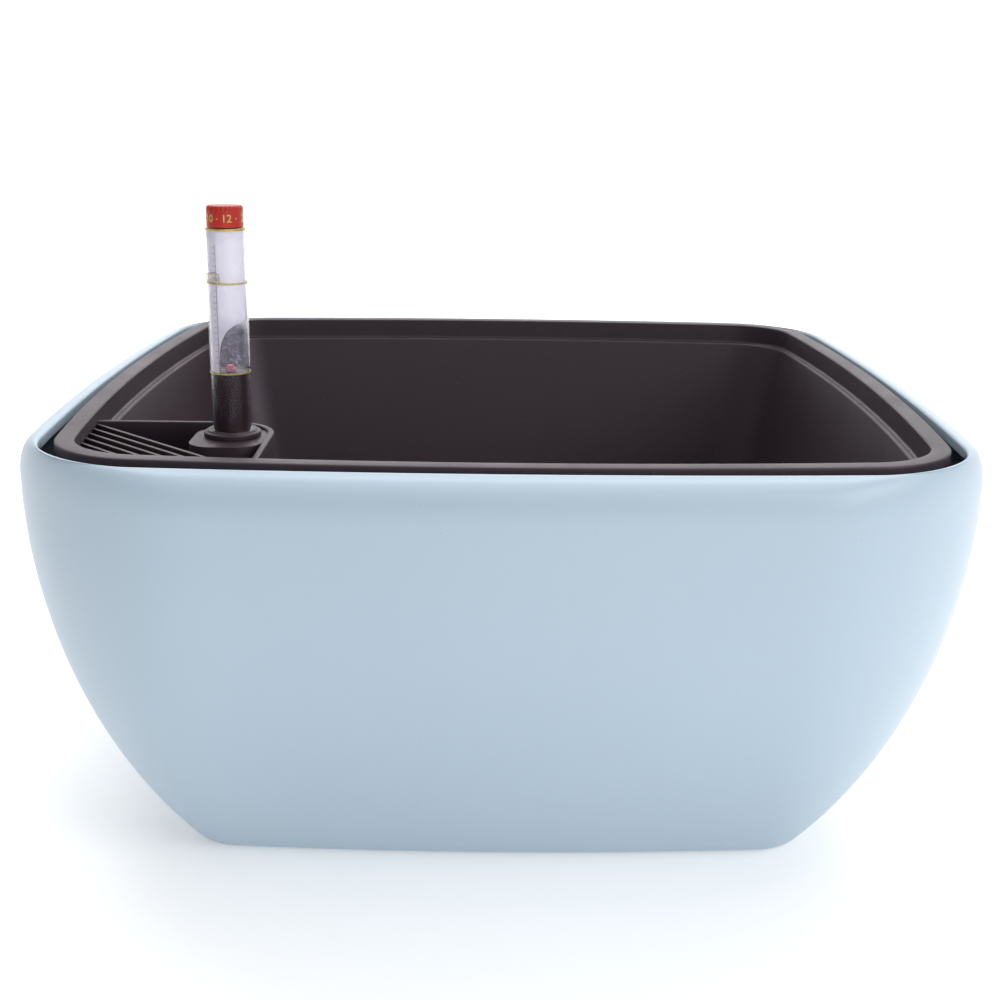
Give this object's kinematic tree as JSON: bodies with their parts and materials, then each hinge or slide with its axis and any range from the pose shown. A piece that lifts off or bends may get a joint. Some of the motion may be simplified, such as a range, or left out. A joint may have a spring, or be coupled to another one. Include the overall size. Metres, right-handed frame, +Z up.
{
  "type": "self-watering planter",
  "caption": "Square bowl-sided self-watering planter with a drop-in liner, wick baskets, filling pocket with grille, and a float water gauge.",
  "frame": {"origin": "on the ground at the middle of the pot's footprint", "axes": "+Z up; the front, with the gauge at its left, faces -Y; +X to the right"},
  "size_m": [0.4, 0.4, 0.2696],
  "materials": {
    "pot_blue": "satin moulded plastic, pale blue",
    "liner_brown": "satin moulded plastic, dark brown",
    "clear_tube": "clear moulded tube",
    "scale_film": "translucent white film",
    "gold_print": "gold printed line",
    "dial_red": "red moulded plastic",
    "tip_red": "bright red moulded plastic",
    "float_foam": "closed-cell foam",
    "float_rod": "white rod",
    "drain_grey": "dark grey moulded plastic",
    "seal_rubber": "black rubber"
  },
  "bodies": {
    "pot": {"outer_pot": "pot_blue"},
    "drain_plug": {"drain_plug": "drain_grey", "drain_plug_seal": "seal_rubber"},
    "liner": {"liner": "liner_brown", "fill_grille": "liner_brown", "gauge_seat": "liner_brown", "gauge_collar": "liner_brown", "lower_guide": "liner_brown", "wick_basket_front_left": "liner_brown", "wick_basket_front_right": "liner_brown", "wick_basket_rear_left": "liner_brown", "wick_basket_rear_right": "liner_brown"},
    "gauge": {"gauge_stem": "liner_brown", "stem_foot": "liner_brown", "stem_guide": "liner_brown", "sight_tube": "clear_tube", "scale_insert": "scale_film", "level_bands": "gold_print", "dial_plug": "clear_tube", "dial_ring": "gold_print"},
    "dial": {"dial_cap": "dial_red"},
    "float": {"float": "float_foam", "float_rod": "float_rod", "indicator_tip": "tip_red"}
  },
  "joints": [
    {"name": "liner_lift", "type": "slide", "parent": "pot", "child": "liner", "axis": [0, 0, 1], "range_m": [0, 0.18]},
    {"name": "plug_pull", "type": "slide", "parent": "pot", "child": "drain_plug", "axis": [0, 0, 1], "range_m": [0, 0.03]},
    {"name": "gauge_lift", "type": "slide", "parent": "liner", "child": "gauge", "axis": [0, 0, 1], "range_m": [0, 0.175]},
    {"name": "float_rise", "type": "slide", "parent": "gauge", "child": "float", "axis": [0, 0, 1], "range_m": [0, 0.048]},
    {"name": "dial_turn", "type": "hinge", "parent": "gauge", "child": "dial", "pos_m": [-0.1105, -0.112, 0.265], "axis": [0, 0, 1], "continuous": true}
  ]
}
